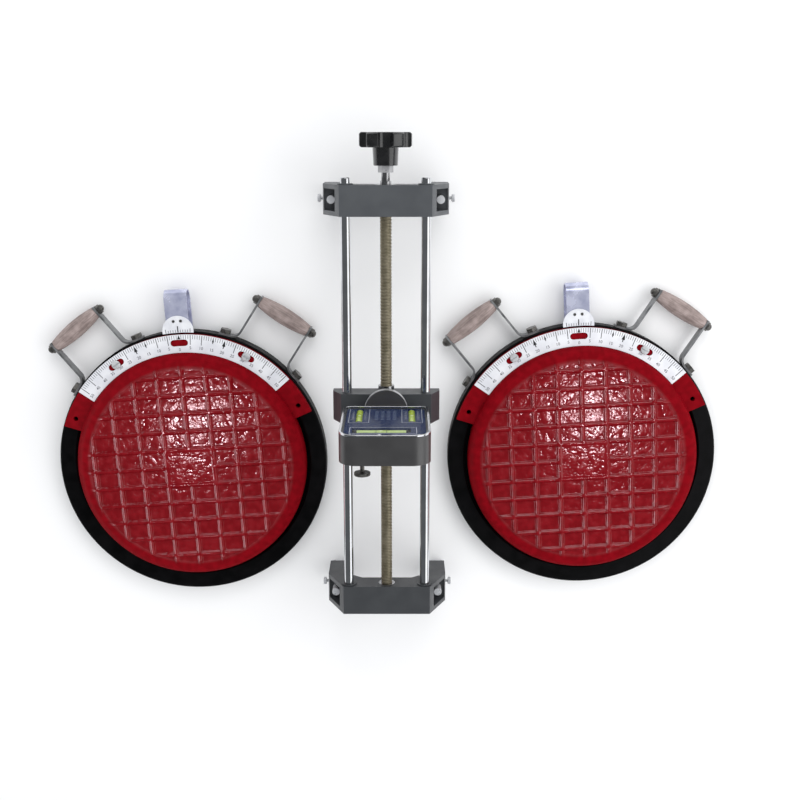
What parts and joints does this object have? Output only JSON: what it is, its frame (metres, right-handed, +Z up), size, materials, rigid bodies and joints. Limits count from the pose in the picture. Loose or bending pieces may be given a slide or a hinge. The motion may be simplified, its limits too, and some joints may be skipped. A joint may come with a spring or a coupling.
{
  "type": "steering wheel angle gauge",
  "caption": "Wheel alignment set: turn plates with arc scales and vernier pointers, and a screw clamp whose swivelling spirit level gauge sits on the wheel rim.",
  "frame": {"origin": "middle of the set in plan, on the floor that the turn plates and the clamp lie on", "axes": "+X from the left to the right turn plate, +Y along the clamp's rods towards the knob, +Z up"},
  "size_m": [0.8725, 0.6014, 0.2635],
  "materials": {
    "red_paint": "thick gloss red paint on a casting",
    "black_paint": "semi-gloss black paint",
    "grey_paint": "satin slate-grey paint",
    "housing_paint": "satin dark-grey paint",
    "bearing_steel": "polished balls",
    "cage_brass": "stamped brass sheet",
    "scale_aluminium": "satin with printed graduations",
    "white_plate": "white vernier plate",
    "zinc_steel": "zinc plated",
    "dark_steel": "blackened steel",
    "strap_steel": "bare strap",
    "bright_strap": "bright rolled strap",
    "grip_wood": "weathered, stained by use",
    "chrome_rod": "hard chrome",
    "screw_brass": "oiled, dull",
    "bronze": "turned bronze",
    "knob_plastic": "moulded",
    "panel_blue": "printed panel",
    "window_clear": "clear sheet",
    "bezel_chrome": "polished",
    "vial_lime": "tinted fluid",
    "vial_pale": "tinted fluid"
  },
  "bodies": {
    "frame": {"left_base": "black_paint", "left_pointer_bracket": "bright_strap", "left_vernier_plate": "white_plate", "left_handle_straps": "strap_steel", "right_base": "black_paint", "right_pointer_bracket": "bright_strap", "right_vernier_plate": "white_plate", "right_handle_straps": "strap_steel", "pivot_bolts": "dark_steel", "rim_bolts": "dark_steel", "pointer_screws": "zinc_steel", "vernier_rivets": "dark_steel", "grip_bolts": "zinc_steel", "grip_nuts": "dark_steel", "guide_rods": "chrome_rod", "middle_bracket": "grey_paint", "hub_spigot": "zinc_steel"},
    "left_turntable": {"left_top_plate": "red_paint", "left_scale_screws": "zinc_steel"},
    "left_bearing": {"left_ball_cage": "cage_brass", "left_balls": "bearing_steel"},
    "left_scale": {"left_angle_scale": "scale_aluminium"},
    "left_outer_handle": {"left_outer_grip": "grip_wood"},
    "left_inner_handle": {"left_inner_grip": "grip_wood"},
    "right_turntable": {"right_top_plate": "red_paint", "right_scale_screws": "zinc_steel"},
    "right_bearing": {"right_ball_cage": "cage_brass", "right_balls": "bearing_steel"},
    "right_scale": {"right_angle_scale": "scale_aluminium"},
    "right_outer_handle": {"right_outer_grip": "grip_wood"},
    "right_inner_handle": {"right_inner_grip": "grip_wood"},
    "spindle": {"lead_screw": "screw_brass", "screw_collars": "zinc_steel", "knob": "knob_plastic", "lock_nut": "zinc_steel"},
    "top_slider": {"top_bracket": "grey_paint", "top_bushes": "dark_steel", "top_nut": "zinc_steel"},
    "top_left_claw": {"top_left_claw": "zinc_steel"},
    "top_left_thumb_screw": {"top_left_thumb_screw": "zinc_steel"},
    "top_right_claw": {"top_right_claw": "zinc_steel"},
    "top_right_thumb_screw": {"top_right_thumb_screw": "zinc_steel"},
    "bottom_slider": {"bottom_bracket": "grey_paint", "bottom_bushes": "dark_steel", "bottom_nut": "zinc_steel"},
    "bottom_left_claw": {"bottom_left_claw": "zinc_steel"},
    "bottom_left_thumb_screw": {"bottom_left_thumb_screw": "zinc_steel"},
    "bottom_right_claw": {"bottom_right_claw": "zinc_steel"},
    "bottom_right_thumb_screw": {"bottom_right_thumb_screw": "zinc_steel"},
    "gauge": {"mounting_disc": "housing_paint", "disc_screws": "zinc_steel", "gauge_housing": "housing_paint", "gauge_panel": "panel_blue", "gauge_window": "window_clear", "gauge_bezel": "bezel_chrome", "short_vials": "vial_lime"},
    "vial_carrier": {"long_vial": "vial_pale", "vial_cradle": "bronze"},
    "adjuster": {"adjusting_screw": "dark_steel"}
  },
  "joints": [
    {"name": "left_plate_turn", "type": "hinge", "parent": "frame", "child": "left_turntable", "pos_m": [-0.25262, -0.12475, 0], "axis": [0, 0, 1], "range_deg": [-50, 50]},
    {"name": "left_cage_roll", "type": "hinge", "parent": "frame", "child": "left_bearing", "pos_m": [-0.25262, -0.12475, 0], "axis": [0, 0, 1], "range_deg": [-25, 25]},
    {"name": "left_scale_trim", "type": "hinge", "parent": "left_turntable", "child": "left_scale", "pos_m": [-0.25262, -0.12475, 0], "axis": [0, 0, 1], "range_deg": [-2, 2]},
    {"name": "left_outer_grip_spin", "type": "hinge", "parent": "frame", "child": "left_outer_handle", "pos_m": [-0.39892, 0.05272, 0.0125], "axis": [-0.7716, -0.6361, 0], "continuous": true},
    {"name": "left_inner_grip_spin", "type": "hinge", "parent": "frame", "child": "left_inner_handle", "pos_m": [-0.12904, 0.06923, 0.0125], "axis": [-0.8434, 0.5373, 0], "continuous": true},
    {"name": "right_plate_turn", "type": "hinge", "parent": "frame", "child": "right_turntable", "pos_m": [0.25938, -0.11575, 0], "axis": [0, 0, 1], "range_deg": [-50, 50]},
    {"name": "right_cage_roll", "type": "hinge", "parent": "frame", "child": "right_bearing", "pos_m": [0.25938, -0.11575, 0], "axis": [0, 0, 1], "range_deg": [-25, 25]},
    {"name": "right_scale_trim", "type": "hinge", "parent": "right_turntable", "child": "right_scale", "pos_m": [0.25938, -0.11575, 0], "axis": [0, 0, 1], "range_deg": [-2, 2]},
    {"name": "right_outer_grip_spin", "type": "hinge", "parent": "frame", "child": "right_outer_handle", "pos_m": [0.38296, 0.07823, 0.0125], "axis": [-0.8434, 0.5373, 0], "continuous": true},
    {"name": "right_inner_grip_spin", "type": "hinge", "parent": "frame", "child": "right_inner_handle", "pos_m": [0.11308, 0.06172, 0.0125], "axis": [-0.7716, -0.6361, 0], "continuous": true},
    {"name": "screw_turn", "type": "hinge", "parent": "frame", "child": "spindle", "pos_m": [0.00338, -0.02975, 0.096], "axis": [0, 1, 0], "range_deg": [0, 11250]},
    {"name": "top_slide", "type": "slide", "parent": "frame", "child": "top_slider", "axis": [0, 1, 0], "range_m": [-0.125, 0]},
    {"name": "top_left_claw_slide", "type": "slide", "parent": "top_slider", "child": "top_left_claw", "axis": [0, 0, 1], "range_m": [0, 0.01]},
    {"name": "top_left_thumb_turn", "type": "hinge", "parent": "top_slider", "child": "top_left_thumb_screw", "pos_m": [-0.07312, 0.22175, 0.045], "axis": [-1, 0, 0], "range_deg": [0, 720]},
    {"name": "top_right_claw_slide", "type": "slide", "parent": "top_slider", "child": "top_right_claw", "axis": [0, 0, 1], "range_m": [0, 0.01]},
    {"name": "top_right_thumb_turn", "type": "hinge", "parent": "top_slider", "child": "top_right_thumb_screw", "pos_m": [0.07988, 0.22175, 0.045], "axis": [1, 0, 0], "range_deg": [0, 720]},
    {"name": "bottom_slide", "type": "slide", "parent": "frame", "child": "bottom_slider", "axis": [0, 1, 0], "range_m": [0, 0.125]},
    {"name": "bottom_left_claw_slide", "type": "slide", "parent": "bottom_slider", "child": "bottom_left_claw", "axis": [0, 0, 1], "range_m": [0, 0.01]},
    {"name": "bottom_left_thumb_turn", "type": "hinge", "parent": "bottom_slider", "child": "bottom_left_thumb_screw", "pos_m": [-0.07312, -0.28125, 0.045], "axis": [-1, 0, 0], "range_deg": [0, 720]},
    {"name": "bottom_right_claw_slide", "type": "slide", "parent": "bottom_slider", "child": "bottom_right_claw", "axis": [0, 0, 1], "range_m": [0, 0.01]},
    {"name": "bottom_right_thumb_turn", "type": "hinge", "parent": "bottom_slider", "child": "bottom_right_thumb_screw", "pos_m": [0.07988, -0.28125, 0.045], "axis": [1, 0, 0], "range_deg": [0, 720]},
    {"name": "gauge_swivel", "type": "hinge", "parent": "frame", "child": "gauge", "pos_m": [0.00338, -0.02975, 0.1135], "axis": [0, 0, 1], "continuous": true},
    {"name": "adjust_turn", "type": "hinge", "parent": "gauge", "child": "adjuster", "pos_m": [-0.02262, -0.06975, 0.2255], "axis": [0, 1, 0], "range_deg": [-518, 518]},
    {"name": "vial_tilt", "type": "hinge", "parent": "gauge", "child": "vial_carrier", "pos_m": [0.02138, -0.03805, 0.2255], "axis": [0, 0, 1], "range_deg": [-1.5, 1.5]}
  ],
  "couplings": [
    {"joint": "left_cage_roll", "follows": "left_plate_turn", "ratio": 0.5},
    {"joint": "right_cage_roll", "follows": "right_plate_turn", "ratio": 0.5},
    {"joint": "screw_turn", "follows": "top_slide", "rad_per_m": -1570.8},
    {"joint": "bottom_slide", "follows": "top_slide", "ratio": -1},
    {"joint": "vial_tilt", "follows": "adjust_turn", "ratio": 0.0028937}
  ]
}
